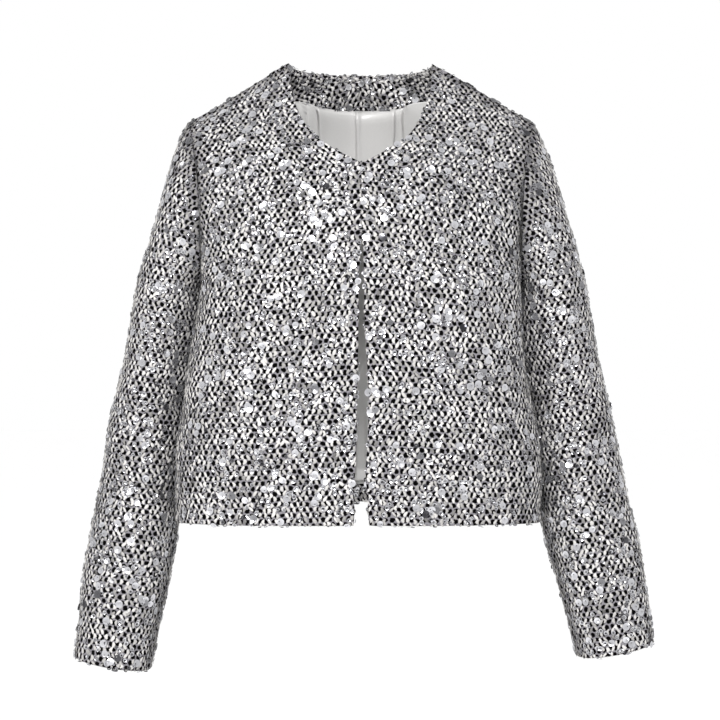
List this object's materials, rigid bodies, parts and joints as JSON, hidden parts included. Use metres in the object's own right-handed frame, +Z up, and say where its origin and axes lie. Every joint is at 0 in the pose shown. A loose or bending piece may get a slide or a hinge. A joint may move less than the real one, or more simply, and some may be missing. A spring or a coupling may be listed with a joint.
{
  "type": "collarless cropped sequin tweed jacket",
  "caption": "Cropped collarless jacket in silver sequin tweed with a round neck, open edge-to-edge front and long set-in sleeves, filled out as if worn.",
  "frame": {"origin": "midway between the two points where the shoulder seams reach the neck, where the wearer's shoulders hold the jacket up", "axes": "+Z up, -Y to the front of the jacket, +X to the wearer's left"},
  "size_m": [0.6213, 0.231, 0.6503],
  "materials": {
    "tweed": "chunky black and white woven tweed with silver sequins",
    "lining": "pale grey satin"
  },
  "bodies": {
    "root": {"front_left": "tweed", "front_right": "tweed", "back": "tweed", "sleeve_left": "tweed", "sleeve_right": "tweed", "back_neck_facing": "tweed", "lining_back": "lining"}
  },
  "joints": []
}
